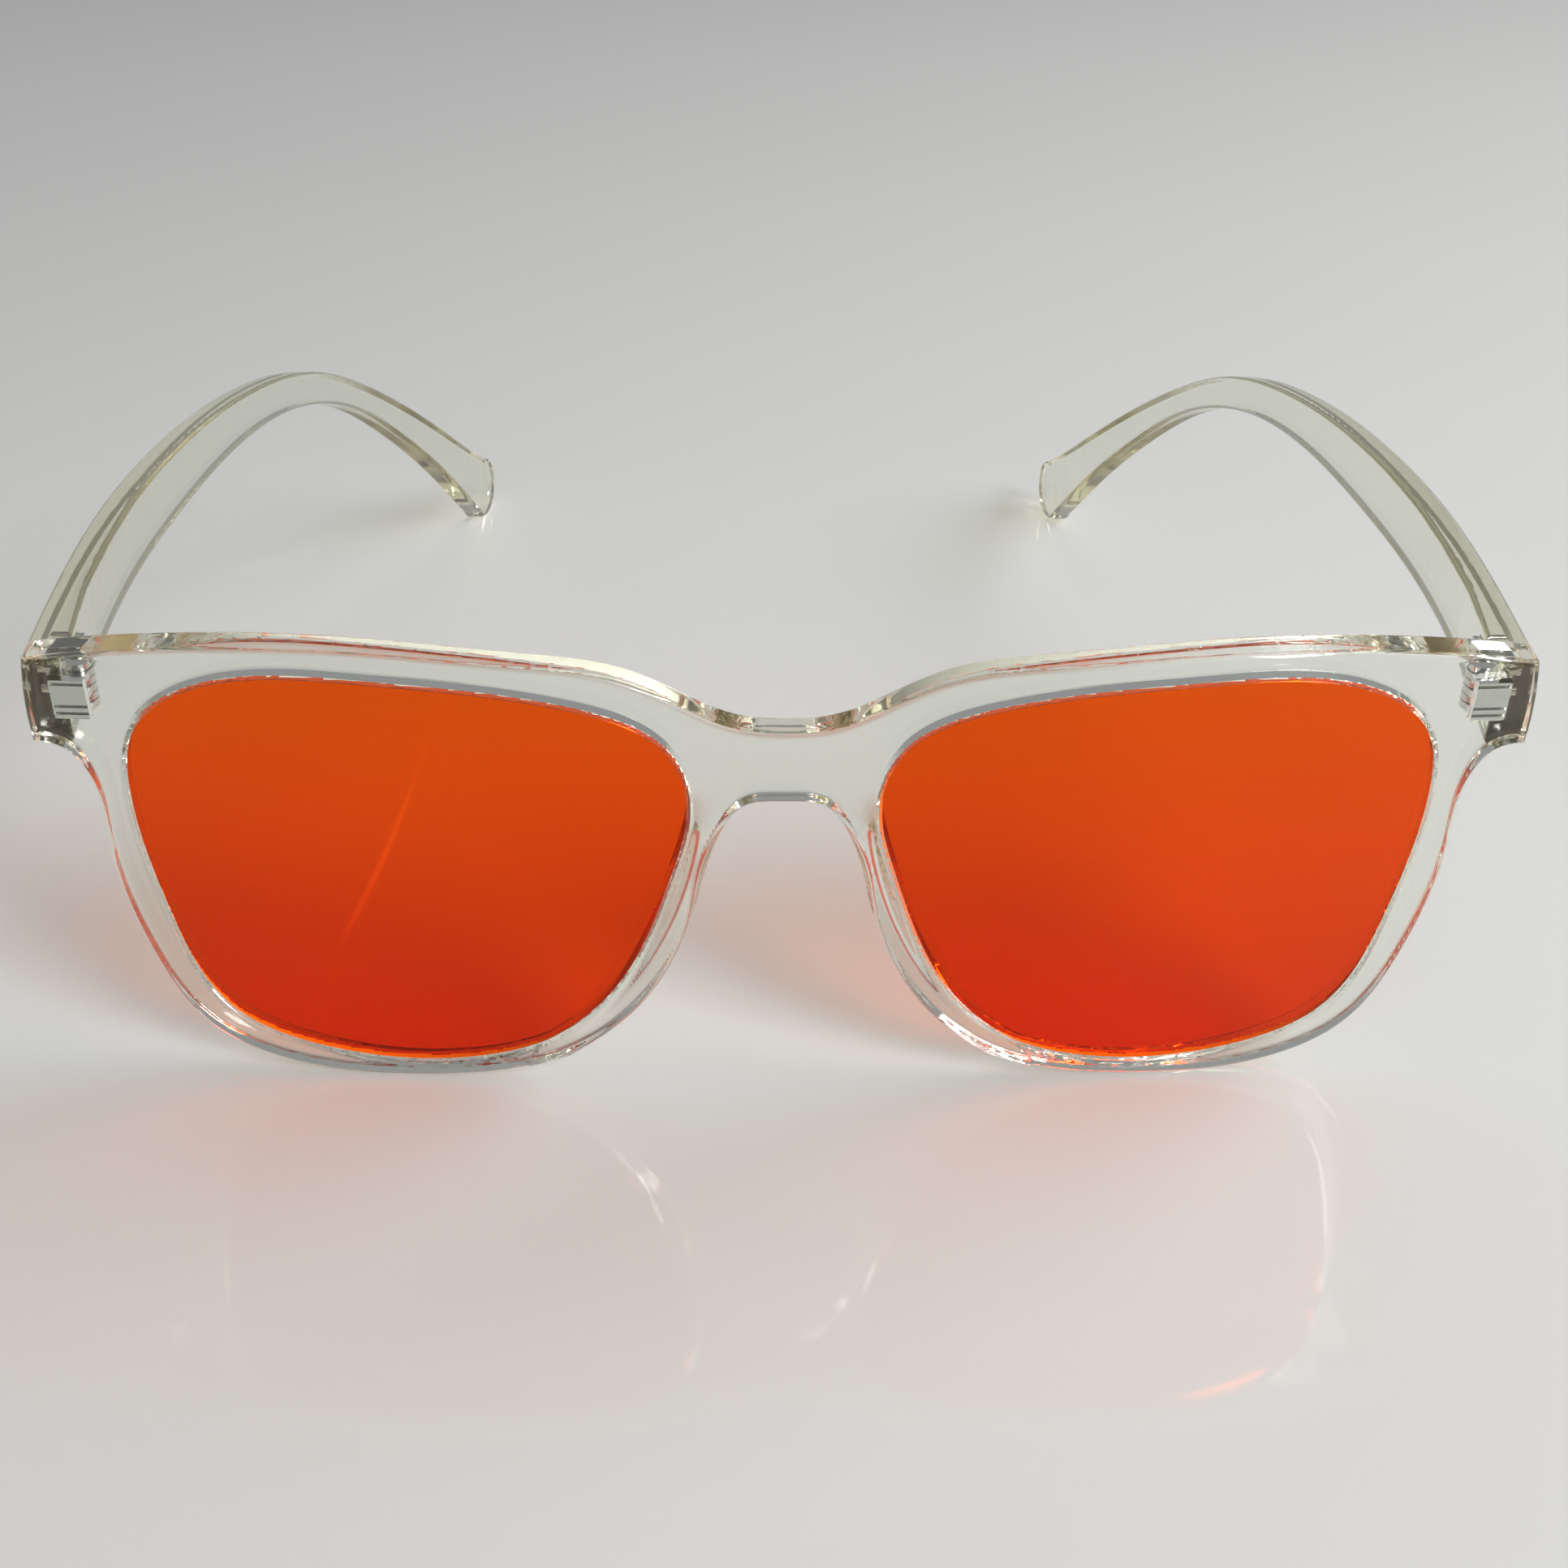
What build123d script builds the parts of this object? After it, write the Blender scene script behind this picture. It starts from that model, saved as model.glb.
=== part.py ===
"""Clear-framed blue light glasses: a bowed front with two tinted lenses and two temples on barrel hinges.

Millimetres, +Z up. The glasses stand open on a table: the rims and the temple tips touch z = 0, and the wearer
looks towards -Y. Each side piece is drawn on the +X side, and the left one (the wearer's right) is its mirror image.
"""
from build123d import *
from math import atan, degrees
import os

# ---- the front ----
HALF_WIDTH = 70.1        # centre line to the outer side of an end piece
BOW_RADIUS = 590.0       # front surface, in plan
BACK_RADIUS = 505.0      # back surface, in plan: the front gets thicker towards the end pieces
BRIDGE_THICKNESS = 3.1   # front to back at the centre line
TILT = degrees(atan(0.075))    # the top of the front leans forwards
EDGE_ROUND = 0.6

LENS_THICKNESS = 1.8
LENS_FRONT = 0.7         # the lens sits this far behind the front surface
GROOVE_DEPTH = 0.5       # how far the lens reaches into the rim
GROOVE_GAP = 0.05        # room round the lens in its groove

# ---- the temples ----
BUTT_GAP = 0.15          # room between an open temple and its end piece

# ---- the hinges ----
AXIS_X, AXIS_Y = 65.4, 5.9
KNUCKLE_R = 1.3
KNUCKLES = 5             # three on the front leaf and two on the temple leaf
KNUCKLE_BOTTOM, KNUCKLE_TOP = 42.9, 46.9
KNUCKLE_GAP = 0.08       # between neighbouring knuckles
LEAF = 0.8
LEAF_CLEAR = 0.2         # a leaf stands this far off the other leaf's knuckles
LEAF_SINK = 0.4          # the front leaf lies this much deeper still, under the end piece's back face
ANCHOR_DEPTH = 0.9       # the front leaf's ribs reach this far into the end piece
ANCHOR_WIDTH = 3.2
ANCHOR_INSET = 1.1       # from the axis to the plate's inner edge
RIB_GAP = 0.32
RIB_LEVELS = (0.5, 1.25, 3.6)    # middles of the gaps between the ribs, above the plate's lower edge
POCKET_GAP = 0.05
HINGE_ROOM = 0.5         # the recess for the knuckles goes this far past the hinge, up and down
TEMPLE_LEAF_LENGTH = 5.2     # behind the axis
TEMPLE_LEAF_LEAD = 0.3       # in front of it
TEMPLE_LEAF_BOTTOM, TEMPLE_LEAF_TOP = 43.05, 46.75
NECK = 0.7               # width of a front knuckle's neck, past the axis
NECK_ROOT = 0.3          # a neck runs this far into its leaf
SCREW_R = 0.6
SCREW_HEAD_R, SCREW_HEAD_H = 1.15, 0.65
SLOT_WIDTH, SLOT_DEPTH = 0.3, 0.3
BORE_FIT, BORE_RUN = 0.02, 0.05    # radial room round the screw in the front leaf and in the temple leaf
RIVET_R = 0.45
RIVET_SPACING = 2.2
RIVET_LENGTH = 2.7
RIVET_FIT = 0.02
RIVET_SETBACK = 1.3      # from the end of the temple leaf

# ---- outlines seen from the front: (x, z) of the right half ----
BROW = [(0, 44.1), (4.6, 44.6), (9.2, 46.7), (14.4, 49.3), (24, 50.8), (41, 51.9), (57, 51.2), (69.3, 49.4)]
SIDE = [(69.3, 49.4), (70.0, 44.6), (HALF_WIDTH, 40.0)]
RIM = [(HALF_WIDTH, 40.0), (66.9, 39.2), (65.3, 35.6), (65.2, 28.5), (63.3, 15.2), (58.2, 4.9), (49.2, 0.6),
       (36.5, 0), (24.5, 2.3), (14.9, 9.8), (9.0, 22.3), (6.2, 32.6), (3.4, 35.9), (0, 36.2)]
OPENING = [(9.1, 36.0), (11.6, 42.1), (20, 46.1), (38, 48.2), (54.4, 46.7), (60.1, 42.2), (61.9, 34.4),
           (60.6, 20.6), (55.6, 7.3), (46, 2.8), (33, 2.3), (22.2, 6.3), (14.9, 15.4), (10.6, 27.4)]

# ---- nose pads: height, x on the nose side, x on the lens side, depth behind the rim ----
PAD_SECTIONS = [(33.5, 6.6, 9.0, 0.3), (28.0, 8.0, 10.6, 3.0), (22.0, 9.8, 12.5, 4.8), (15.0, 12.6, 15.4, 4.8),
                (9.0, 16.2, 19.0, 2.8), (5.5, 19.6, 22.6, 0.3)]
PAD_ROOT = 1.4           # the pads start this far behind the front surface
PAD_EDGE = 1.0           # width of a pad's back edge
PAD_SPLAY = 0.2          # the back edge leans this far towards the lens

# ---- a temple: its outer face in plan (x, y) and its thickness there, its side outline (y, z) ----
TEMPLE_PLAN = [(70.5, 2.0), (72.1, 19), (72.4, 37), (70.6, 56), (66.0, 80), (59.3, 101), (54.5, 117), (51.0, 134),
               (48.6, 150)]
TEMPLE_THICKNESS = [4.3, 3.3, 3.2, 3.1, 3.05, 3.0, 2.95, 2.9, 2.9]
TEMPLE_TOP = [(2.0, 48.1), (32, 48.4), (58, 48.7), (76, 47.3), (90, 44.2), (102, 38.1), (114, 30.2), (130, 19.2),
              (146, 9.0)]
TEMPLE_TIP = [(146, 9.0), (149.4, 5.2), (148.6, 1.6), (145.2, 0), (140, 2.0)]
TEMPLE_UNDER = [(140, 2.0), (124, 15.9), (109, 28.3), (97.5, 36.4), (87, 40.6), (74, 42.2), (52, 41.6), (28, 40.5),
                (2.0, 39.2)]


def with_mirror(points):
    """A half outline that starts on the centre line, drawn across both sides."""
    return [(-x, z) for x, z in reversed(points) if x > 0] + list(points)


def seen_from_front(face):
    """A face drawn in (x, z), as a bar right through the glasses."""
    return extrude(Plane.XZ * face, amount=40, both=True)


def curved_slab(front_gap, thickness, back_radius):
    """Slab that follows the bow, front_gap behind the front surface, before the tilt."""
    reach, low, high = 80, -10, 60
    radius = BOW_RADIUS - front_gap
    back = front_gap + thickness
    front_end = front_gap + radius - (radius**2 - reach**2) ** 0.5
    back_end = back + back_radius - (back_radius**2 - reach**2) ** 0.5
    front_edge = ThreePointArc((-reach, front_end), (0, front_gap), (reach, front_end))
    back_edge = ThreePointArc((-reach, back_end), (0, back), (reach, back_end))
    ends = [Line(front_edge @ 0, back_edge @ 0), Line(front_edge @ 1, back_edge @ 1)]
    face = Pos(0, 0, low) * make_face([front_edge, back_edge, *ends])
    return extrude(face, amount=high - low, dir=(0, 0, 1))


def tilted(shape):
    """Leans a shape of the front: its top goes forwards."""
    return Rot(X=TILT) * shape


def left_of(shape):
    return mirror(shape, about=Plane.YZ)


def opening_bar(grow=0):
    """The right lens opening as a bar, grown by so much all round."""
    curve = Spline(*OPENING, periodic=True)
    tangents = [curve.tangent_at(point) for point in OPENING]
    grown = [(x - along.Y * grow, z + along.X * grow) for (x, z), along in zip(OPENING, tangents)]
    return seen_from_front(make_face(Spline(*grown, periodic=True)))


def lens_slab(room=0):
    gap = LENS_FRONT - room
    thickness = LENS_THICKNESS + 2 * room
    return curved_slab(gap, thickness, BOW_RADIUS - gap - thickness)


def lens():
    return tilted(opening_bar(GROOVE_DEPTH) & lens_slab())


def nose_pad():
    """Wedge behind the nasal rim: its nose side slopes out to a rounded back edge."""
    sections = []
    for z, nose_x, lens_x, depth in PAD_SECTIONS:
        back = BRIDGE_THICKNESS + depth
        edge_x = lens_x + PAD_SPLAY
        corners = [(nose_x, PAD_ROOT), (lens_x, PAD_ROOT), (edge_x, back), (edge_x - PAD_EDGE, back)]
        sections.append(Pos(0, 0, z) * make_face(Polyline(*corners, close=True)))
    return tilted(loft(sections))


def front_plate():
    """The bowed plate with its two lens openings, its edges rounded, before grooves and pockets."""
    outline = [Spline(*with_mirror(BROW)), Spline(*SIDE), Spline(*with_mirror(RIM[::-1])),
               Spline(*[(-x, z) for x, z in SIDE])]
    plate = seen_from_front(make_face(outline)) & curved_slab(0, BRIDGE_THICKNESS, BACK_RADIUS)
    plate = plate - opening_bar() - left_of(opening_bar())
    long_edges = [edge for edge in plate.edges() if abs(edge.tangent_at(0.5).Y) < 0.5]
    return tilted(fillet(long_edges, EDGE_ROUND))


def knuckle_levels(first):
    """(bottom, height) of every other knuckle, counted from the bottom one."""
    pitch = (KNUCKLE_TOP - KNUCKLE_BOTTOM) / KNUCKLES
    return [(KNUCKLE_BOTTOM + i * pitch + KNUCKLE_GAP / 2, pitch - KNUCKLE_GAP) for i in range(first, KNUCKLES, 2)]


def box_between(low, high):
    size = [b - a for a, b in zip(low, high)]
    return Pos(*low) * Box(*size, align=(Align.MIN, Align.MIN, Align.MIN))


def upright(radius, bottom, top):
    """Cylinder about the hinge axis."""
    return Pos(AXIS_X, AXIS_Y, bottom) * Cylinder(radius, top - bottom, align=(Align.CENTER, Align.CENTER, Align.MIN))


def leaf_offset():
    """How far a leaf's near face is from the hinge axis."""
    return KNUCKLE_R + LEAF_CLEAR


def knuckle_room():
    """Round recess for the knuckles and the screw head."""
    return upright(leaf_offset(), KNUCKLE_BOTTOM - HINGE_ROOM, KNUCKLE_TOP + SCREW_HEAD_H + HINGE_ROOM)


def front_leaf_block(room=0, mouth=0):
    """The ribbed plate of the front leaf without its grooves. A pocket has room all round and an open back."""
    back = AXIS_Y - leaf_offset() - LEAF_SINK
    low = (AXIS_X - ANCHOR_INSET - room, back - LEAF - ANCHOR_DEPTH - room, KNUCKLE_BOTTOM - room)
    high = (AXIS_X - ANCHOR_INSET + ANCHOR_WIDTH + room, back + mouth, KNUCKLE_TOP + room)
    return box_between(low, high)


def hinge_front():
    """Three knuckles on a plate whose ribs are sunk into the end piece."""
    leaf = front_leaf_block()
    box = leaf.bounding_box()
    for level in RIB_LEVELS:
        middle = box.min.Z + level
        leaf -= box_between((box.min.X - 1, box.min.Y - 1, middle - RIB_GAP / 2),
                            (box.max.X + 1, box.min.Y + ANCHOR_DEPTH, middle + RIB_GAP / 2))
    for bottom, height in knuckle_levels(0):
        leaf += upright(KNUCKLE_R, bottom, bottom + height)
        leaf += box_between((box.min.X, box.max.Y - NECK_ROOT, bottom), (AXIS_X + NECK, AXIS_Y, bottom + height))
    for bottom, height in knuckle_levels(1):
        leaf -= upright(KNUCKLE_R + LEAF_CLEAR, bottom - KNUCKLE_GAP, bottom + height + KNUCKLE_GAP)
    return leaf - upright(SCREW_R + BORE_FIT, KNUCKLE_BOTTOM - 1, KNUCKLE_TOP + 1)


def hinge_temple():
    """Two knuckles on a plate let into the temple's inner face."""
    near = AXIS_X + leaf_offset()
    front = AXIS_Y - TEMPLE_LEAF_LEAD
    leaf = box_between((near, front, TEMPLE_LEAF_BOTTOM), (near + LEAF, AXIS_Y + TEMPLE_LEAF_LENGTH, TEMPLE_LEAF_TOP))
    for bottom, height in knuckle_levels(1):
        leaf += upright(KNUCKLE_R, bottom, bottom + height)
        leaf += box_between((AXIS_X, front, bottom), (near + NECK_ROOT, AXIS_Y + KNUCKLE_R, bottom + height))
    return leaf - upright(SCREW_R + BORE_RUN, KNUCKLE_BOTTOM - 1, KNUCKLE_TOP + 1) - rivets(RIVET_FIT)


def hinge_screw():
    """Slotted cheese-head screw down through all the knuckles."""
    screw = upright(SCREW_R, KNUCKLE_BOTTOM, KNUCKLE_TOP) + upright(
        SCREW_HEAD_R, KNUCKLE_TOP, KNUCKLE_TOP + SCREW_HEAD_H)
    top = KNUCKLE_TOP + SCREW_HEAD_H
    return screw - box_between((AXIS_X - 2, AXIS_Y - SLOT_WIDTH / 2, top - SLOT_DEPTH),
                               (AXIS_X + 2, AXIS_Y + SLOT_WIDTH / 2, top + 1))


def rivet(level, room=0):
    """One rivet through the temple leaf into the temple, level -1 or +1 about the middle of the hinge."""
    middle = (KNUCKLE_BOTTOM + KNUCKLE_TOP) / 2 + level * RIVET_SPACING / 2
    start = AXIS_X + leaf_offset()
    place = Location((start, AXIS_Y + TEMPLE_LEAF_LENGTH - RIVET_SETBACK, middle), (0, 90, 0))
    return place * Cylinder(RIVET_R + room, RIVET_LENGTH + room, align=(Align.CENTER, Align.CENTER, Align.MIN))


def rivets(room=0):
    return rivet(-1, room) + rivet(1, room)


def front_frame():
    """Front with integral nose pads, lens grooves and a pocket for each hinge."""
    frame = front_plate()
    groove = tilted(opening_bar(GROOVE_DEPTH + GROOVE_GAP) & lens_slab(GROOVE_GAP))
    pocket = front_leaf_block(POCKET_GAP, mouth=1) + knuckle_room()
    for side in (lambda shape: shape, left_of):
        frame = frame + side(nose_pad()) - side(groove) - side(pocket)
    return frame


def temple():
    """Bowed temple, thinner towards the tip, with a seat for its hinge leaf."""
    outer = Spline(*TEMPLE_PLAN)
    inner_points = []
    for (x, y), thickness in zip(TEMPLE_PLAN, TEMPLE_THICKNESS):
        along = outer.tangent_at((x, y))
        inner_points.append((x - along.Y * thickness, y + along.X * thickness))
    inner = Spline(*inner_points)
    ends = [Line(outer @ 0, inner @ 0), Line(outer @ 1, inner @ 1)]
    plan = extrude(make_face([outer, inner, *ends]), amount=60, dir=(0, 0, 1))
    profile = [Spline(*TEMPLE_TOP), Spline(*TEMPLE_TIP), Spline(*TEMPLE_UNDER),
               Line(TEMPLE_UNDER[-1], TEMPLE_TOP[0])]
    side = extrude(Plane.YZ * make_face(profile), amount=100)
    blank = (plan & side) - tilted(curved_slab(-40, 40 + BRIDGE_THICKNESS + BUTT_GAP, BACK_RADIUS))
    seat = hinge_temple().bounding_box()
    blank -= box_between((AXIS_X, 0, seat.min.Z - POCKET_GAP),
                         (seat.max.X + POCKET_GAP, seat.max.Y + POCKET_GAP, seat.max.Z + POCKET_GAP))
    return blank - rivets(RIVET_FIT) - knuckle_room()


def all_pieces():
    right = {
        "lens": lens(),
        "temple": temple(),
        "hinge_front": hinge_front(),
        "hinge_temple": hinge_temple(),
        "hinge_screw": hinge_screw(),
        "rivet_lower": rivet(-1),
        "rivet_upper": rivet(1),
    }
    pieces = {"front_frame": front_frame()}
    for name, shape in right.items():
        pieces[name + "_right"] = shape
        pieces[name + "_left"] = left_of(shape)
    return pieces


def centred(pieces):
    """Moves every piece along y so that the origin is the middle of the glasses' footprint."""
    boxes = [shape.bounding_box() for shape in pieces.values()]
    middle = (min(box.min.Y for box in boxes) + max(box.max.Y for box in boxes)) / 2
    lowest = min(box.min.Z for box in boxes)
    return {name: Pos(0, -middle, -lowest) * shape for name, shape in pieces.items()}


os.makedirs("parts", exist_ok=True)
for node, shape in centred(all_pieces()).items():
    export_step(shape, f"parts/{node}.step")
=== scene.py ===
"""Looks of the clear-framed blue light glasses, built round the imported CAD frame.

The front, the lenses and the temples are meshed from distance functions, with rounded edges, and
stand for their CAD nodes. The hinges, screws and rivets are the CAD nodes themselves. Lengths in the
shapes are in millimetres, in the glasses' own drawing frame: x from the centre line, y back from the
front surface, z up.
"""
import math

import bpy
import numpy as np
from mathutils import Matrix, Vector


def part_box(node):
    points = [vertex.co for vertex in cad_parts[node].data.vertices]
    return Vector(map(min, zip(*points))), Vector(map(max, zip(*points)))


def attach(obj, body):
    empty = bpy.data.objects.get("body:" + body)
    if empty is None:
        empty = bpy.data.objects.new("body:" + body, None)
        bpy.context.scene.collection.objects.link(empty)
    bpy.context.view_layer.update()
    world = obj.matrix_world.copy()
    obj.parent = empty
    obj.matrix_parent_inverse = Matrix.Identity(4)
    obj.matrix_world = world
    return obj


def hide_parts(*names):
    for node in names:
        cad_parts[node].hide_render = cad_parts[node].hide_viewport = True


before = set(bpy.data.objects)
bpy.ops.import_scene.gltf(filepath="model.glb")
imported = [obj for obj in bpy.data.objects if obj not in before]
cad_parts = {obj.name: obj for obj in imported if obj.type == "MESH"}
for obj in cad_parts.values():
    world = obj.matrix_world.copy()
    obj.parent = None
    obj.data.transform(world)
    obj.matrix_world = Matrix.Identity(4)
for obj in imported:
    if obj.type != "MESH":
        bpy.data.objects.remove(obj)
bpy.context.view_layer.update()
MM = 0.001

# ---- shapes, in millimetres ----
HALF_WIDTH = 70.1
BOW_RADIUS, BACK_RADIUS = 590.0, 505.0     # front and back surfaces of the front, in plan
BRIDGE_THICKNESS = 3.1
TILT = math.atan(0.075)                    # the top of the front leans forwards
EDGE = 0.65                                # rounding of the front's edges
LENS_FRONT, LENS_THICKNESS = 0.7, 1.8
GROOVE_DEPTH, GROOVE_GAP = 0.5, 0.05
BUTT_GAP = 0.15
AXIS_X, AXIS_Y = 65.4, 5.9                 # hinge axis
SCREW_TOP = 47.55
KNUCKLE_ROOM = (1.5, 45.2, 2.85)           # radius, middle height and half height
LEAF_ROOM = (64.25, 2.25, 42.85), (67.55, 6.0, 46.95)      # opposite corners
SEAT = (AXIS_X - 3, 0, 43.0), (67.75, 11.15, 46.8)
TEMPLE_EDGE, BUTT_EDGE, LENS_EDGE = 0.55, 0.35, 0.25       # roundings
GROOVE_EDGE, POCKET_EDGE = 0.08, 0.12

BROW = [(0, 44.1), (4.6, 44.6), (9.2, 46.7), (14.4, 49.3), (24, 50.8), (41, 51.9), (57, 51.2),
        (69.3, 49.4)]
SIDE = [(69.3, 49.4), (70.0, 44.6), (HALF_WIDTH, 40.0)]
RIM = [(HALF_WIDTH, 40.0), (66.9, 39.2), (65.3, 35.6), (65.2, 28.5), (63.3, 15.2), (58.2, 4.9),
       (49.2, 0.6), (36.5, 0), (24.5, 2.3), (14.9, 9.8), (9.0, 22.3), (6.2, 32.6), (3.4, 35.9), (0, 36.2)]
OPENING = [(9.1, 36.0), (11.6, 42.1), (20, 46.1), (38, 48.2), (54.4, 46.7), (60.1, 42.2), (61.9, 34.4),
           (60.6, 20.6), (55.6, 7.3), (46, 2.8), (33, 2.3), (22.2, 6.3), (14.9, 15.4), (10.6, 27.4)]
# nose pads: height, x on the nose side, x on the lens side, depth behind the rim
PAD_SECTIONS = [(37.5, 5.6, 8.2, -1.2), (33.5, 6.6, 9.0, 0.5), (28.0, 8.0, 10.6, 3.0),
                (22.0, 9.8, 12.5, 4.6), (15.0, 12.6, 15.4, 4.4), (9.0, 16.2, 19.0, 2.4),
                (5.5, 19.6, 22.6, 0.2), (2.5, 22.6, 25.6, -1.2)]
PAD_ROOT, PAD_BLEND, PAD_EDGE = 1.4, 1.3, 0.8
PAD_IN, PAD_OUT = 0.8, 0.2                 # a pad's back, each way from its lens side
# temples: outer face in plan (x, y) and thickness there, side outline (y, z)
TEMPLE_PLAN = [(70.5, 2.0), (72.1, 19), (72.4, 37), (70.6, 56), (66.0, 80), (59.3, 101), (54.5, 117),
               (51.0, 134), (48.6, 150)]
TEMPLE_THICKNESS = [4.3, 3.3, 3.2, 3.1, 3.05, 3.0, 2.95, 2.9, 2.9]
TEMPLE_TOP = [(2.0, 48.1), (32, 48.4), (58, 48.7), (76, 47.3), (90, 44.2), (102, 38.1), (114, 30.2),
              (130, 19.2), (146, 9.0)]
TEMPLE_TIP = [(146, 9.0), (149.4, 5.2), (148.6, 1.6), (145.2, 0), (140, 2.0)]
TEMPLE_UNDER = [(140, 2.0), (124, 15.9), (109, 28.3), (97.5, 36.4), (87, 40.6), (74, 42.2),
                (52, 41.6), (28, 40.5), (2.0, 39.2)]


# ---- curves and distances ----
def end_slope(t, p):
    """Slope at the first of up to four points, from the polynomial through them."""
    t, p = t[:4] - t[0], p[:4]
    return np.array([np.polyfit(t, p[:, i], len(t) - 1)[-2] for i in range(p.shape[1])])


def spline(points, steps=10, closed=False):
    """Smooth curve through the points, as a polyline."""
    p = np.array(points, float)
    if closed:
        p = np.vstack([p, p[:1]])
    gaps = np.linalg.norm(np.diff(p, axis=0), axis=1)
    t = np.concatenate([[0], np.cumsum(gaps)])
    n = len(p)
    rows, right = np.zeros((n, n)), np.zeros_like(p)
    for i in range(1, n - 1):
        a, b = gaps[i - 1], gaps[i]
        rows[i, i - 1:i + 2] = 1 / a, 2 / a + 2 / b, 1 / b
        right[i] = 3 * ((p[i] - p[i - 1]) / a**2 + (p[i + 1] - p[i]) / b**2)
    if closed:
        a, b = gaps[-1], gaps[0]
        rows[0, [n - 2, 0, 1]] = 1 / a, 2 / a + 2 / b, 1 / b
        right[0] = 3 * ((p[0] - p[n - 2]) / a**2 + (p[1] - p[0]) / b**2)
        rows[-1, [0, -1]] = 1, -1
    else:
        rows[0, 0] = rows[-1, -1] = 1
        right[0] = end_slope(t, p)
        right[-1] = -end_slope(-t[::-1], p[::-1])
    slopes = np.linalg.solve(rows, right)
    u = np.arange(steps) / steps
    out = []
    for i in range(n - 1):
        h = gaps[i]
        a, b = p[i][None], p[i + 1][None]
        ma, mb = slopes[i][None] * h, slopes[i + 1][None] * h
        s = u[:, None]
        out.append((2 * s**3 - 3 * s**2 + 1) * a + (s**3 - 2 * s**2 + s) * ma
                   + (3 * s**2 - 2 * s**3) * b + (s**3 - s**2) * mb)
    out = np.vstack(out)
    return out if closed else np.vstack([out, p[-1:]])


def with_mirror(points):
    return [(-x, z) for x, z in reversed(points) if x > 0] + list(points)


def joined(*runs):
    """One closed loop from runs that follow each other."""
    return np.vstack([run[:-1] for run in runs])


class Field:
    """Signed distance to a closed loop, negative inside, looked up smoothly between grid points."""

    def __init__(self, loop, low, high, step=0.35):
        self.low, self.step = np.array(low, float), step
        u = np.arange(low[0], high[0] + step, step)
        v = np.arange(low[1], high[1] + step, step)
        a, b = loop, np.roll(loop, -1, axis=0)
        along = b - a
        length2 = (along**2).sum(1)
        grid = np.empty((len(u), len(v)))
        for i, x in enumerate(u):
            dx, dy = x - a[:, 0], v[:, None] - a[:, 1]
            s = np.clip((dx * along[:, 0] + dy * along[:, 1]) / length2, 0, 1)
            far = np.sqrt(((dx - s * along[:, 0])**2 + (dy - s * along[:, 1])**2).min(1))
            crosses = (a[:, 1] > v[:, None]) != (b[:, 1] > v[:, None])
            rise = np.where(along[:, 1] == 0, 1, along[:, 1])
            where = a[:, 0] + (v[:, None] - a[:, 1]) / rise * along[:, 0]
            inside = ((crosses & (x < where)).sum(1) % 2) == 1
            grid[i] = np.where(inside, -far, far)
        self.grid = grid

    def __call__(self, u, v):
        shape = np.broadcast(u, v).shape
        at = [np.clip((np.broadcast_to(w, shape) - lo) / self.step, 1.001, n - 2.001)
              for w, lo, n in zip((u, v), self.low, self.grid.shape)]
        cell = [np.floor(w).astype(int) for w in at]
        weights = []
        for w, c in zip(at, cell):
            s = w - c
            weights.append(((-s**3 + 2 * s**2 - s) / 2, (3 * s**3 - 5 * s**2 + 2) / 2,
                            (-3 * s**3 + 4 * s**2 + s) / 2, (s**3 - s**2) / 2))
        total = 0
        for i in range(4):
            for j in range(4):
                total = total + weights[0][i] * weights[1][j] * self.grid[cell[0] + i - 1, cell[1] + j - 1]
        return total


def both(a, b, r):
    """Where two shapes meet, with a rounded edge."""
    u, w = a + r, b + r
    return np.minimum(np.maximum(u, w), 0) + np.hypot(np.maximum(u, 0), np.maximum(w, 0)) - r


def either(a, b, r):
    """Two shapes together, with a fillet between them."""
    return -both(-a, -b, r)


def less(a, b, r):
    return both(a, -b, r)


def block(x, y, z, low, high):
    """Distance to a box."""
    middle = [(a + b) / 2 for a, b in zip(low, high)]
    q = [abs(w - m) - (b - a) / 2 for w, m, a, b in zip((x, y, z), middle, low, high)]
    return np.maximum(np.maximum(q[0], q[1]), q[2])


def upright_y(y, z):
    """y in the front's own frame, where it stands upright."""
    return y * math.cos(TILT) + z * math.sin(TILT)


outline = Field(joined(spline(with_mirror(BROW)), spline(SIDE), spline(with_mirror(RIM[::-1])[::-1]),
                       spline([(-x, z) for x, z in SIDE])[::-1]), (-2, -3), (74, 56))
opening = Field(spline(OPENING, 12, closed=True), (4, -3), (68, 56))
temple_side = Field(joined(spline(TEMPLE_TOP), spline(TEMPLE_TIP), spline(TEMPLE_UNDER),
                           np.array([TEMPLE_UNDER[-1], TEMPLE_TOP[0]])), (-2, -3), (153, 53))


def temple_plan():
    outer = spline(TEMPLE_PLAN, 20)
    along = np.gradient(outer, axis=0)
    along /= np.linalg.norm(along, axis=1)[:, None]
    thickness = np.interp(outer[:, 1], [y for _, y in TEMPLE_PLAN], TEMPLE_THICKNESS)
    inner = outer + np.stack([-along[:, 1], along[:, 0]], 1) * thickness[:, None]
    return Field(np.vstack([outer, inner[::-1]]), (38, -2), (78, 155))


plan = temple_plan()
pad_z = np.array([s[0] for s in PAD_SECTIONS])
pad_curve = spline([(s[0], s[1], s[2], s[3]) for s in PAD_SECTIONS], 12)[::-1]


def front_face(x):
    return BOW_RADIUS - np.sqrt(BOW_RADIUS**2 - x**2)


def back_face(x):
    return BRIDGE_THICKNESS + BACK_RADIUS - np.sqrt(BACK_RADIUS**2 - x**2)


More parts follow.
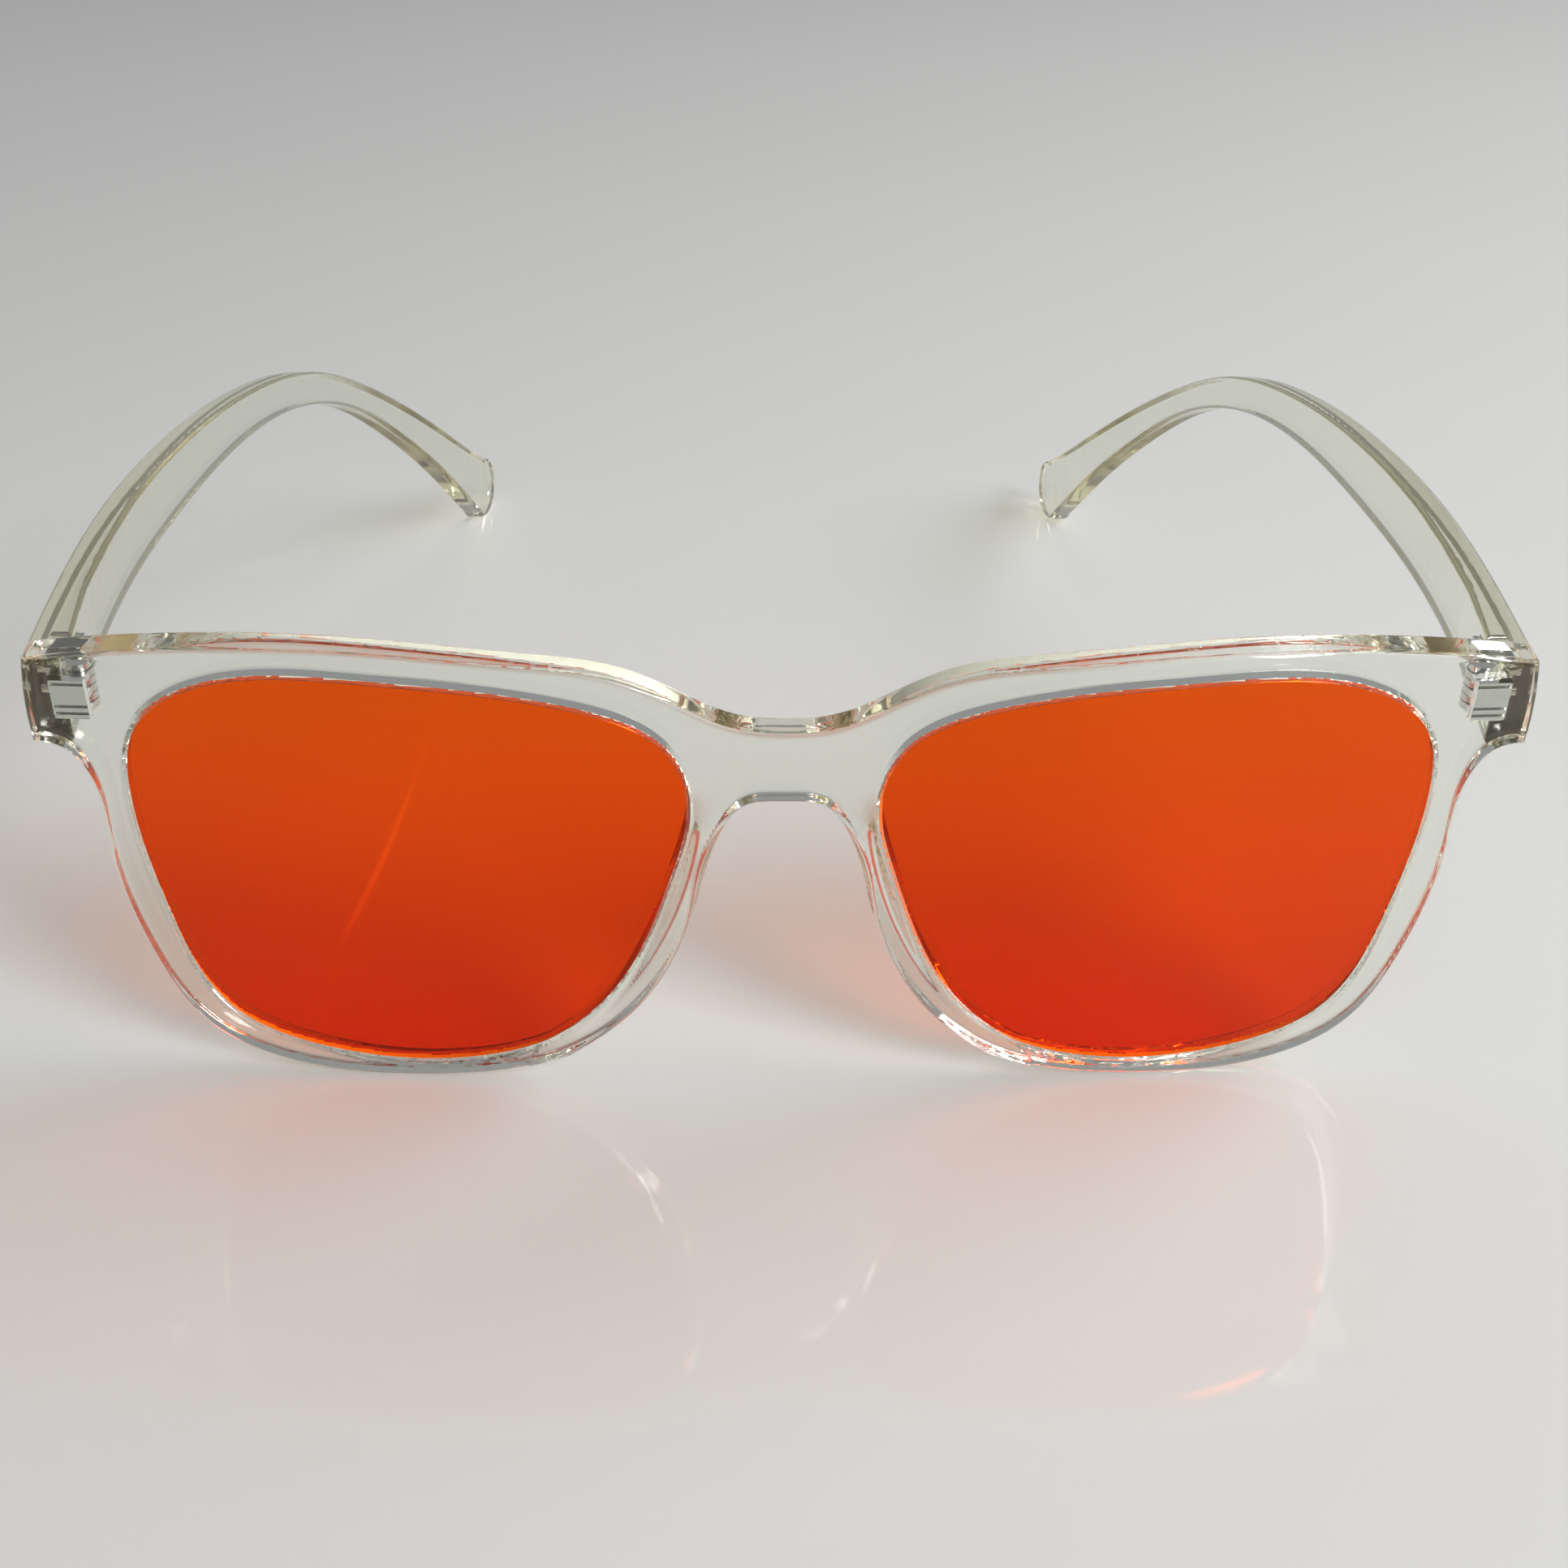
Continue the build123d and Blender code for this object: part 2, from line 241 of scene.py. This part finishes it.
def nose_pad(x, y, z):
    nose, lens, depth = (np.interp(z, pad_curve[:, 0], pad_curve[:, i]) for i in (1, 2, 3))
    back = BRIDGE_THICKNESS + depth
    run = back - PAD_ROOT
    lean = lens - PAD_IN - nose
    nose_side = (lean * (y - PAD_ROOT) - (x - nose) * run) / np.hypot(lean, run)
    lens_side = x - (lens + PAD_OUT * (y - PAD_ROOT) / run)
    ends = np.maximum(pad_z.min() - z, z - pad_z.max())
    shape = both(both(nose_side, lens_side, PAD_EDGE), y - back, PAD_EDGE)
    return np.maximum(np.maximum(shape, PAD_ROOT - y), ends)


def lens_slab(x, y):
    """Distance to the bowed sheet that the lens is cut from."""
    return abs(y - front_face(x) - LENS_FRONT - LENS_THICKNESS / 2) - LENS_THICKNESS / 2


def hinge_room(x, y, z, leaf):
    """Room for a hinge leaf and the knuckles, in the glasses' own frame."""
    radius, middle, half = KNUCKLE_ROOM
    knuckles = np.maximum(np.hypot(x - AXIS_X, y - AXIS_Y) - radius, abs(z - middle) - half)
    return np.minimum(block(x, y, z, *leaf), knuckles)


def front(x, y, z):
    """The front, standing upright."""
    x = abs(x)
    flat = np.maximum(outline(x, z), -opening(x, z))
    plate = both(flat, np.maximum(front_face(x) - y, y - back_face(x)), EDGE)
    shape = either(plate, nose_pad(x, y, z), PAD_BLEND)
    lens_room = np.maximum(opening(x, z) - GROOVE_DEPTH - GROOVE_GAP, lens_slab(x, y) - GROOVE_GAP)
    shape = less(shape, lens_room, GROOVE_EDGE)
    real_y = y * math.cos(TILT) - z * math.sin(TILT)
    real_z = y * math.sin(TILT) + z * math.cos(TILT)
    return less(shape, hinge_room(x, real_y, real_z, LEAF_ROOM), POCKET_EDGE)


def lens(x, y, z):
    return both(opening(x, z) - GROOVE_DEPTH, lens_slab(x, y), LENS_EDGE)


def temple(x, y, z):
    shape = both(temple_side(y, z), plan(x, y), TEMPLE_EDGE)
    shape = both(shape, back_face(x) + BUTT_GAP - upright_y(y, z), BUTT_EDGE)
    return less(shape, hinge_room(x, y, z, SEAT), POCKET_EDGE)


# ---- from a distance function to a mesh ----
def surface(distance, low, high, step):
    """Vertices, quads and their corners' normals where the distance is 0.

    Each crossed cell gets one vertex, where the planes at its cut edges meet, so creases stay crisp.
    """
    cut_nudge, nudge = 0.3 * step, 0.2 * step
    pull_share, spill, crease = 0.04, 0.1, 0.92
    axes = [np.arange(a, b + step, step) for a, b in zip(low, high)]
    value = distance(*np.meshgrid(*axes, indexing="ij"))
    inside = value < 0
    sizes = value.shape
    corners = [(a, b, c) for a in (0, 1) for b in (0, 1) for c in (0, 1)]
    count = sum(inside[tuple(slice(o, n - 1 + o) for o, n in zip(c, sizes))].astype(np.int8)
                for c in corners)
    cells = np.argwhere((count > 0) & (count < 8))
    number = -np.ones(count.shape, int)
    number[tuple(cells.T)] = np.arange(len(cells))
    planes, offsets = np.zeros((len(cells), 3, 3)), np.zeros((len(cells), 3))
    total, hits = np.zeros((len(cells), 3)), np.zeros(len(cells))
    quads = []
    for axis in range(3):
        u, v = (axis + 1) % 3, (axis + 2) % 3
        ahead, here = [slice(None)] * 3, [slice(None)] * 3
        ahead[axis], here[axis] = slice(1, None), slice(None, -1)
        edge = np.argwhere(inside[tuple(here)] != inside[tuple(ahead)])
        out = inside[tuple(edge.T)]
        ring = []
        for du, dv in ((0, 0), (-1, 0), (-1, -1), (0, -1)):
            cell = edge.copy()
            cell[:, u] += du
            cell[:, v] += dv
            ring.append(number[tuple(cell.T)])
        ring = np.stack(ring, 1)
        quads.append(np.where(out[:, None], ring, ring[:, ::-1]))
        # where the surface cuts this grid edge, and its plane there
        end = edge.copy()
        end[:, axis] += 1
        a, b = value[tuple(edge.T)], value[tuple(end.T)]
        cut = edge.astype(float)
        cut[:, axis] += a / (a - b)
        cut = np.array(low) + cut * step
        slope, far = gradient(distance, cut)
        slope2 = np.maximum((slope**2).sum(1), 1e-6)[:, None]
        cut = cut - slope * np.clip(far[:, None] / slope2, -cut_nudge, cut_nudge)
        plane = slope / np.sqrt(slope2)
        square = plane[:, :, None] * plane[:, None, :]
        offset = plane * (plane * cut).sum(1)[:, None]
        for cell in ring.T:
            np.add.at(planes, cell, square)
            np.add.at(offsets, cell, offset)
            np.add.at(total, cell, cut)
            np.add.at(hits, cell, 1)
    quads = np.vstack(quads)
    middle = total / hits[:, None]
    pull = pull_share * hits[:, None, None] * np.eye(3)
    points = np.linalg.solve(planes + pull, (offsets + pull[:, 0, :1] * middle)[:, :, None])[:, :, 0]
    box = np.array(low) + cells * step
    points = np.clip(points, box - spill * step, box + (1 + spill) * step)
    for _ in range(2):
        slope, far = gradient(distance, points)
        move = np.clip(far / np.maximum((slope**2).sum(1), 1e-6), -nudge, nudge)
        points -= slope * move[:, None]
    slope, _ = gradient(distance, points)
    smooth = slope / np.linalg.norm(slope, axis=1)[:, None]
    slope, _ = gradient(distance, points[quads].mean(1))
    face = slope / np.linalg.norm(slope, axis=1)[:, None]
    normals = smooth[quads]
    sharp = (normals * face[:, None]).sum(2) < crease
    normals[sharp] = np.broadcast_to(face[:, None], normals.shape)[sharp]
    return points, quads, normals


def gradient(distance, points, h=0.01):
    slope = np.empty_like(points)
    for i in range(3):
        off = np.zeros(3)
        off[i] = h
        slope[:, i] = (distance(*(points + off).T) - distance(*(points - off).T)) / (2 * h)
    return slope, distance(*points.T)


# the drawing frame's place in the shared frame, from the hinge screw
hinge_low, hinge_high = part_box("hinge_screw_right")
SHIFT = np.array([0, (hinge_low.y + hinge_high.y) / 2 / MM - AXIS_Y, hinge_high.z / MM - SCREW_TOP])


def leaning(points):
    """From the front's own frame, where it stands upright, to the glasses' own."""
    c, s = math.cos(TILT), math.sin(TILT)
    return points @ np.array([[1, 0, 0], [0, c, -s], [0, s, c]]).T


def add_mesh(name, points, quads, normals, tilted, mirrored, body, node, slot, material):
    """One piece of the model, which stands for a CAD node and rides on a body."""
    if tilted:
        points, normals = leaning(points), leaning(normals)
    points = (points + SHIFT) * MM
    if mirrored:
        points, normals, quads = points * (-1, 1, 1), normals[:, ::-1] * (-1, 1, 1), quads[:, ::-1]
    mesh = bpy.data.meshes.new(name)
    mesh.from_pydata(points.tolist(), [], quads.tolist())
    mesh.shade_smooth()
    mesh.normals_split_custom_set(normals.reshape(-1, 3).tolist())
    mesh.materials.append(material)
    piece = bpy.data.objects.new(name, mesh)
    bpy.context.scene.collection.objects.link(piece)
    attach(piece, body)
    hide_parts(node)
    return piece


# ---- materials; lengths in metres ----
FRONT_HEIGHT = 0.052


def new_material(name):
    material = bpy.data.materials.new(name)
    material.use_nodes = True
    tree = material.node_tree
    shader = tree.nodes["Principled BSDF"]
    return material, tree, shader


def node(tree, kind, **values):
    made = tree.nodes.new(kind)
    for key, value in values.items():
        if key in made.inputs:
            made.inputs[key].default_value = value
        else:
            setattr(made, key, value)
    return made


def noise(tree, scale, detail=3.0, stretch=None):
    """Noise in the object's own metres; scale is features per metre."""
    where = node(tree, "ShaderNodeTexCoord")
    place = node(tree, "ShaderNodeMapping")
    if stretch:
        place.inputs["Scale"].default_value = stretch
    texture = node(tree, "ShaderNodeTexNoise", Scale=scale, Detail=detail)
    tree.links.new(where.outputs["Object"], place.inputs["Vector"])
    tree.links.new(place.outputs["Vector"], texture.inputs["Vector"])
    return texture.outputs["Fac"]


def ranged(tree, source, low, high, start=0.3, end=0.7):
    """From low to high as the source goes from start to end; noise stays mostly within 0.3 to 0.7."""
    made = node(tree, "ShaderNodeMapRange")
    for key, value in (("From Min", start), ("From Max", end), ("To Min", low), ("To Max", high)):
        made.inputs[key].default_value = value
    tree.links.new(source, made.inputs["Value"])
    return made.outputs["Result"]


def bumped(tree, shader, source, strength, depth):
    bump = node(tree, "ShaderNodeBump", Strength=strength, Distance=depth)
    tree.links.new(source, bump.inputs["Height"])
    tree.links.new(bump.outputs["Normal"], shader.inputs["Normal"])


def lets_lamps_through(tree, shader, tint):
    """Light from the lamps passes the piece with this tint, so its shadow is pale and coloured."""
    output = tree.nodes["Material Output"]
    clear = node(tree, "ShaderNodeBsdfTransparent", Color=(*tint, 1))
    path = node(tree, "ShaderNodeLightPath")
    mix = node(tree, "ShaderNodeMixShader")
    tree.links.new(path.outputs["Is Shadow Ray"], mix.inputs[0])
    tree.links.new(shader.outputs[0], mix.inputs[1])
    tree.links.new(clear.outputs[0], mix.inputs[2])
    tree.links.new(mix.outputs[0], output.inputs["Surface"])


def acetate(name, tint, absorbed, density):
    """Polished clear acetate: slightly wavy from polishing, tinted through its thickness."""
    material, tree, shader = new_material(name)
    shader.inputs["Base Color"].default_value = (*tint, 1)
    shader.inputs["Transmission Weight"].default_value = 1
    shader.inputs["IOR"].default_value = 1.49
    tree.links.new(ranged(tree, noise(tree, 900), 0.015, 0.05), shader.inputs["Roughness"])
    bumped(tree, shader, noise(tree, 260, 2), 0.12, 0.0002)
    lets_lamps_through(tree, shader, (0.66, 0.65, 0.61))
    body = node(tree, "ShaderNodeVolumeAbsorption", Color=(*absorbed, 1), Density=density)
    tree.links.new(body.outputs[0], tree.nodes["Material Output"].inputs["Volume"])
    return material


def lens_material():
    """Orange-red filter lens, with a coating that reflects reddish; its colour is painted darker towards
    the lower rim as painted shade, and brighter than white at the top as painted light.
    """
    material, tree, shader = new_material("orange_filter_lens")
    shader.inputs["IOR"].default_value = 1.5
    shader.inputs["Specular IOR Level"].default_value = 0.15
    shader.inputs["Specular Tint"].default_value = (1.0, 0.08, 0.14, 1)
    shader.inputs["Transmission Weight"].default_value = 1
    where = node(tree, "ShaderNodeTexCoord")
    height = node(tree, "ShaderNodeSeparateXYZ")
    tree.links.new(where.outputs["Object"], height.inputs[0])
    painted_shade_by_height = ranged(tree, height.outputs["Z"], 0.0, 1.0, 0.0, FRONT_HEIGHT)
    # painted shade and painted light: the filter colour darkens towards the lower rim, and its top colour
    # is brighter than white
    painted_shade_and_light_ramp = node(tree, "ShaderNodeValToRGB")
    painted_shade_and_light_ramp.color_ramp.elements[0].color = (0.80, 0.036, 0.0, 1)
    painted_shade_and_light_ramp.color_ramp.elements[1].color = (1.16, 0.120, 0.0, 1)
    tree.links.new(painted_shade_by_height, painted_shade_and_light_ramp.inputs["Fac"])
    tree.links.new(painted_shade_and_light_ramp.outputs["Color"], shader.inputs["Base Color"])
    tree.links.new(ranged(tree, noise(tree, 700), 0.01, 0.03), shader.inputs["Roughness"])
    lets_lamps_through(tree, shader, (0.68, 0.46, 0.30))
    return material


def ground_edge():
    """Matte, pale ground edge of a lens, in its groove."""
    material, tree, shader = new_material("ground_lens_edge")
    shade = node(tree, "ShaderNodeValToRGB")
    shade.color_ramp.elements[0].color = (0.76, 0.74, 0.70, 1)
    shade.color_ramp.elements[1].color = (0.84, 0.82, 0.78, 1)
    grit = noise(tree, 4000)
    tree.links.new(grit, shade.inputs["Fac"])
    tree.links.new(shade.outputs["Color"], shader.inputs["Base Color"])
    tree.links.new(ranged(tree, grit, 0.45, 0.65), shader.inputs["Roughness"])
    bumped(tree, shader, grit, 0.3, 0.00002)
    return material


def steel(name, colour, roughness, stretch):
    """Bright steel with fine tool marks along one direction and slightly worn, uneven polish."""
    material, tree, shader = new_material(name)
    shader.inputs["Metallic"].default_value = 1
    shade = node(tree, "ShaderNodeValToRGB")
    shade.color_ramp.elements[0].color = (*[c * 0.86 for c in colour], 1)
    shade.color_ramp.elements[1].color = (*colour, 1)
    marks = noise(tree, 2600, 3, stretch)
    tree.links.new(marks, shade.inputs["Fac"])
    tree.links.new(shade.outputs["Color"], shader.inputs["Base Color"])
    wear = ranged(tree, noise(tree, 2500), roughness * 0.7, roughness * 1.3)
    tree.links.new(wear, shader.inputs["Roughness"])
    bumped(tree, shader, marks, 0.15, 0.00001)
    return material


front_acetate = acetate("clear_acetate_front", (0.955, 0.982, 0.955), (0.70, 0.66, 0.42), 32)
temple_acetate = acetate("clear_acetate_temple", (0.960, 0.978, 0.945), (0.70, 0.66, 0.40), 60)
filter_lens = lens_material()
lens_edge = ground_edge()
hinge_steel = steel("hinge_steel", (0.78, 0.77, 0.75), 0.15, (0.08, 1, 1))
screw_steel = steel("screw_steel", (0.82, 0.81, 0.79), 0.12, (0.4, 1, 1))
rivet_steel = steel("rivet_steel", (0.70, 0.69, 0.67), 0.22, (0.2, 1, 1))
for name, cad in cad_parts.items():
    for start, kind in (("hinge_front", hinge_steel), ("hinge_temple", hinge_steel),
                        ("hinge_screw", screw_steel), ("rivet", rivet_steel)):
        if name.startswith(start):
            cad.data.materials.clear()
            cad.data.materials.append(kind)

# ---- the pieces ----
FINE, LENS_GRID = (0.28), 0.4
EDGE_FACING = 0.55                         # a lens face less turned to the front or back is its edge
shape = surface(front, (-71, -0.7, -0.7), (71, 9.5, 53.7), FINE)
add_mesh("front", *shape, True, False, "front", "front_frame", "frame_acetate", front_acetate)
shape = surface(lens, (7, -0.5, 0.5), (65, 7.5, 51.5), LENS_GRID)
facing = np.abs(shape[2][:, :, 1].mean(1))
for side, flip in (("right", False), ("left", True)):
    piece = add_mesh(f"filter_{side}", *shape, True, flip, "front", f"lens_{side}", "lens_tint",
                     filter_lens)
    piece.data.materials.append(lens_edge)
    piece.data.polygons.foreach_set("material_index", (facing < EDGE_FACING).astype(np.int32))
shape = surface(temple, (44.5, 1, -0.8), (73.4, 150.8, 49.8), FINE)
for side, flip in (("right", False), ("left", True)):
    add_mesh(f"arm_{side}", *shape, False, flip, f"temple_{side}", f"temple_{side}", "temple_acetate",
             temple_acetate)


# ---- floor, light and camera ----
def floor(reach=6):
    mesh = bpy.data.meshes.new("floor")
    corners = [(-reach, -reach, 0), (reach, -reach, 0), (reach, reach, 0), (-reach, reach, 0)]
    mesh.from_pydata(corners, [], [(0, 1, 2, 3)])
    material, _, shader = new_material("pale_table")
    shader.inputs["Base Color"].default_value = (0.63, 0.63, 0.615, 1)
    shader.inputs["Roughness"].default_value = 0.06
    shader.inputs["IOR"].default_value = 1.5
    mesh.materials.append(material)
    made = bpy.data.objects.new("floor", mesh)
    bpy.context.scene.collection.objects.link(made)


def lamp(name, place, target, size, power, colour):
    data = bpy.data.lights.new(name, "AREA")
    data.size = size
    data.energy, data.color = power, colour
    made = bpy.data.objects.new(name, data)
    made.location = place
    made.rotation_euler = (Vector(target) - Vector(place)).to_track_quat("-Z", "Y").to_euler()
    made.visible_glossy = False            # its mirror image is the bright part of the sky instead
    bpy.context.scene.collection.objects.link(made)


floor()
WINDOW = (0.80, -0.88, 0.95)
lamp("window", WINDOW, (0, -0.02, 0.0), 0.5, 15.0, (1.0, 0.99, 0.97))
lamp("side", (1.0, 0.25, 0.6), (0, 0, 0.0), 0.8, 11.0, (1.0, 0.995, 0.99))
world = bpy.data.worlds.new("studio")
bpy.context.scene.world = world
world.use_nodes = True
sky = world.node_tree
sky.nodes["Background"].inputs[0].default_value = (0.96, 0.98, 1.0, 1)
where = node(sky, "ShaderNodeTexCoord").outputs["Generated"]
direction = node(sky, "ShaderNodeSeparateXYZ")
sky.links.new(where, direction.inputs[0])
room = ranged(sky, direction.outputs["Y"], 0.08, 0.29, -0.85, -0.15)      # dimmer behind the camera
towards = node(sky, "ShaderNodeVectorMath", operation="DOT_PRODUCT")
sky.links.new(where, towards.inputs[0])
towards.inputs[1].default_value = Vector(WINDOW).normalized()
pane = ranged(sky, towards.outputs["Value"], 0.0, 1.5, 0.93, 0.975)
strength = node(sky, "ShaderNodeMath", operation="ADD")
sky.links.new(room, strength.inputs[0])
sky.links.new(pane, strength.inputs[1])
sky.links.new(strength.outputs[0], sky.nodes["Background"].inputs[1])

SENSOR, FOCAL, IMAGE = 36, 2400, 1932      # sensor in millimetres; focal length and image in pixels
CAMERA = (-3.771, -156.01, 133.58)         # in the drawing frame
YAW, PITCH, ROLL = (math.radians(a) for a in (1.364, 31.844, 0.76))
camera_data = bpy.data.cameras.new("camera")
camera_data.sensor_width = SENSOR
camera_data.lens = SENSOR * FOCAL / IMAGE
camera_data.clip_start, camera_data.clip_end = 0.005, 20
camera = bpy.data.objects.new("camera", camera_data)
level = math.cos(PITCH)
forward = Vector((math.sin(YAW) * level, math.cos(YAW) * level, -math.sin(PITCH)))
right = Vector((math.cos(YAW), -math.sin(YAW), 0))
up = right.cross(forward)
right, up = right * math.cos(ROLL) + up * math.sin(ROLL), up * math.cos(ROLL) - right * math.sin(ROLL)
place = Vector(((np.array(CAMERA) + SHIFT) * MM).tolist())
camera.matrix_world = Matrix.Translation(place) @ Matrix((right, up, -forward)).transposed().to_4x4()
scene = bpy.context.scene
scene.collection.objects.link(camera)
scene.camera = camera
scene.view_settings.view_transform = "Standard"
# light crosses the clear pieces many times before it leaves them
scene.cycles.max_bounces = scene.cycles.transmission_bounces = scene.cycles.glossy_bounces = 128
